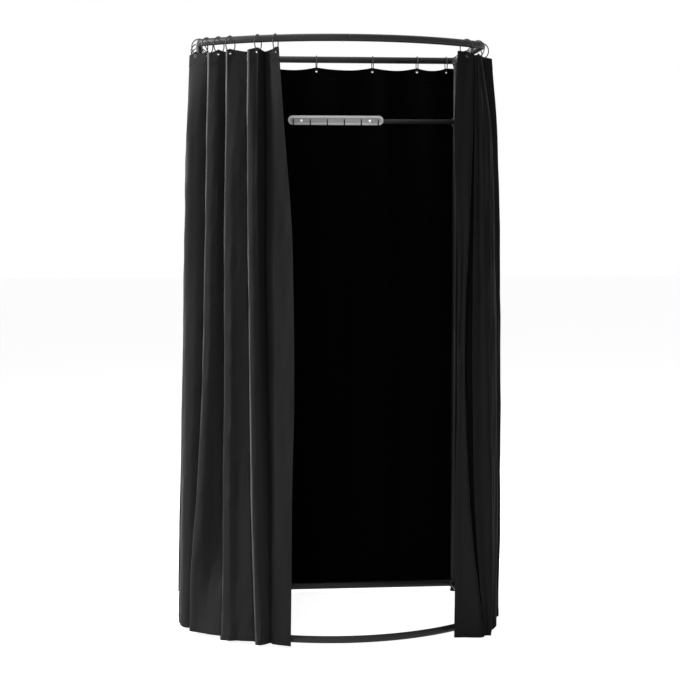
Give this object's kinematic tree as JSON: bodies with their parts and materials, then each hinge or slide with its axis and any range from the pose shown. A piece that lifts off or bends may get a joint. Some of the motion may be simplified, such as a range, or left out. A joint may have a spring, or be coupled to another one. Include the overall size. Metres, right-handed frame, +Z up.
{
  "type": "portable fitting room",
  "caption": "Free-standing D-shaped fitting room: tube frame that comes apart, black curtains on wire rings, and a hang bar with a notched strip.",
  "frame": {"origin": "middle of the bounding box, on the floor", "axes": "+Z up, -Y towards the bowed front with its opening, +X to the right of someone facing the opening"},
  "size_m": [1.21, 0.8696, 2.1377],
  "materials": {
    "black_paint": "semi-gloss black powder coat",
    "black_wire": "gloss black wire",
    "black_plastic": "moulded black plastic",
    "black_rubber": "matt black rubber",
    "steel": "zinc-plated steel",
    "clear_acrylic": "polished clear acrylic",
    "black_cloth": "black woven polyester with a slight sheen"
  },
  "bodies": {
    "frame": {"base_left_rail": "black_paint", "base_right_rail": "black_paint", "base_rear_rail": "black_paint", "top_left_rail": "black_paint", "top_right_rail": "black_paint", "top_rear_rail": "black_paint", "base_left_corner": "black_plastic", "base_right_corner": "black_plastic", "top_left_corner": "black_plastic", "top_right_corner": "black_plastic", "left_lower_post": "black_paint", "left_upper_post": "black_paint", "right_lower_post": "black_paint", "right_upper_post": "black_paint", "rear_left_foot": "black_rubber", "rear_right_foot": "black_rubber", "front_left_foot": "black_rubber", "front_right_foot": "black_rubber", "base_bow_snap_spring": "steel", "top_bow_snap_spring": "steel", "left_post_snap_spring": "steel", "right_post_snap_spring": "steel", "hang_bar": "black_paint", "hang_bar_cap": "black_plastic", "hang_bar_bracket": "black_paint", "bracket_clamp_screw": "steel", "notched_strip": "clear_acrylic", "left_strip_screw": "steel", "right_strip_screw": "steel", "left_ring_1": "black_wire", "left_ring_2": "black_wire", "left_ring_3": "black_wire", "left_ring_4": "black_wire", "left_ring_5": "black_wire", "right_ring_3": "black_wire", "right_ring_4": "black_wire", "right_ring_5": "black_wire", "right_ring_6": "black_wire", "rear_ring_6": "black_wire", "left_curtain": "black_cloth", "right_curtain": "black_cloth", "rear_curtain": "black_cloth"},
    "left_lead_ring": {"left_ring_9": "black_wire"},
    "left_second_ring": {"left_ring_8": "black_wire"},
    "left_third_ring": {"left_ring_7": "black_wire"},
    "left_fourth_ring": {"left_ring_6": "black_wire"},
    "right_lead_ring": {"right_ring_1": "black_wire"},
    "right_second_ring": {"right_ring_2": "black_wire"},
    "rear_lead_ring": {"rear_ring_1": "black_wire"},
    "rear_second_ring": {"rear_ring_2": "black_wire"},
    "rear_third_ring": {"rear_ring_3": "black_wire"},
    "rear_fourth_ring": {"rear_ring_4": "black_wire"},
    "rear_fifth_ring": {"rear_ring_5": "black_wire"},
    "base_bow_button": {"base_bow_snap_button": "steel"},
    "top_bow_button": {"top_bow_snap_button": "steel"},
    "left_post_button": {"left_post_snap_button": "steel"},
    "right_post_button": {"right_post_snap_button": "steel"}
  },
  "joints": [
    {"name": "left_curtain_draw", "type": "hinge", "parent": "frame", "child": "left_lead_ring", "pos_m": [-0.00003, 0.27788, 2.1], "axis": [0, 0, 1], "range_deg": [-5, 33], "deforming": ["left_curtain"]},
    {"name": "left_second_ring_slide", "type": "hinge", "parent": "frame", "child": "left_second_ring", "pos_m": [-0.00003, 0.27788, 2.1], "axis": [0, 0, 1], "range_deg": [-5, 33]},
    {"name": "left_third_ring_slide", "type": "hinge", "parent": "frame", "child": "left_third_ring", "pos_m": [-0.00003, 0.27788, 2.1], "axis": [0, 0, 1], "range_deg": [-5, 33]},
    {"name": "left_fourth_ring_slide", "type": "hinge", "parent": "frame", "child": "left_fourth_ring", "pos_m": [-0.00003, 0.27788, 2.1], "axis": [0, 0, 1], "range_deg": [-5, 33]},
    {"name": "right_curtain_draw", "type": "hinge", "parent": "frame", "child": "right_lead_ring", "pos_m": [-0.00003, 0.27788, 2.1], "axis": [0, 0, 1], "range_deg": [-16, 1.5], "deforming": ["right_curtain"]},
    {"name": "right_second_ring_slide", "type": "hinge", "parent": "frame", "child": "right_second_ring", "pos_m": [-0.00003, 0.27788, 2.1], "axis": [0, 0, 1], "range_deg": [-16, 1.5]},
    {"name": "rear_curtain_draw", "type": "slide", "parent": "frame", "child": "rear_lead_ring", "axis": [1, 0, 0], "range_m": [-0.5, 0], "deforming": ["rear_curtain"]},
    {"name": "rear_second_ring_slide", "type": "slide", "parent": "frame", "child": "rear_second_ring", "axis": [1, 0, 0], "range_m": [-0.5, 0]},
    {"name": "rear_third_ring_slide", "type": "slide", "parent": "frame", "child": "rear_third_ring", "axis": [1, 0, 0], "range_m": [-0.5, 0]},
    {"name": "rear_fourth_ring_slide", "type": "slide", "parent": "frame", "child": "rear_fourth_ring", "axis": [1, 0, 0], "range_m": [-0.5, 0]},
    {"name": "rear_fifth_ring_slide", "type": "slide", "parent": "frame", "child": "rear_fifth_ring", "axis": [1, 0, 0], "range_m": [-0.5, 0]},
    {"name": "base_bow_button_press", "type": "slide", "parent": "frame", "child": "base_bow_button", "axis": [0, 0, 1], "range_m": [-0.0042, 0], "stiffness_N_per_m": 400, "springref_m": 0.002, "deforming": ["base_bow_snap_spring"]},
    {"name": "top_bow_button_press", "type": "slide", "parent": "frame", "child": "top_bow_button", "axis": [0, 0, -1], "range_m": [-0.0042, 0], "stiffness_N_per_m": 400, "springref_m": 0.002, "deforming": ["top_bow_snap_spring"]},
    {"name": "left_post_button_press", "type": "slide", "parent": "frame", "child": "left_post_button", "axis": [0, 1, 0], "range_m": [-0.0042, 0], "stiffness_N_per_m": 400, "springref_m": 0.002, "deforming": ["left_post_snap_spring"]},
    {"name": "right_post_button_press", "type": "slide", "parent": "frame", "child": "right_post_button", "axis": [0, 1, 0], "range_m": [-0.0042, 0], "stiffness_N_per_m": 400, "springref_m": 0.002, "deforming": ["right_post_snap_spring"]}
  ],
  "couplings": [
    {"joint": "left_second_ring_slide", "follows": "left_curtain_draw", "ratio": 0.8625},
    {"joint": "left_third_ring_slide", "follows": "left_curtain_draw", "ratio": 0.31},
    {"joint": "left_fourth_ring_slide", "follows": "left_curtain_draw", "ratio": 0.0972},
    {"joint": "right_second_ring_slide", "follows": "right_curtain_draw", "ratio": 0.5747},
    {"joint": "rear_second_ring_slide", "follows": "rear_curtain_draw", "ratio": 0.9567},
    {"joint": "rear_third_ring_slide", "follows": "rear_curtain_draw", "ratio": 0.7619},
    {"joint": "rear_fourth_ring_slide", "follows": "rear_curtain_draw", "ratio": 0.4146},
    {"joint": "rear_fifth_ring_slide", "follows": "rear_curtain_draw", "ratio": 0.1271}
  ]
}
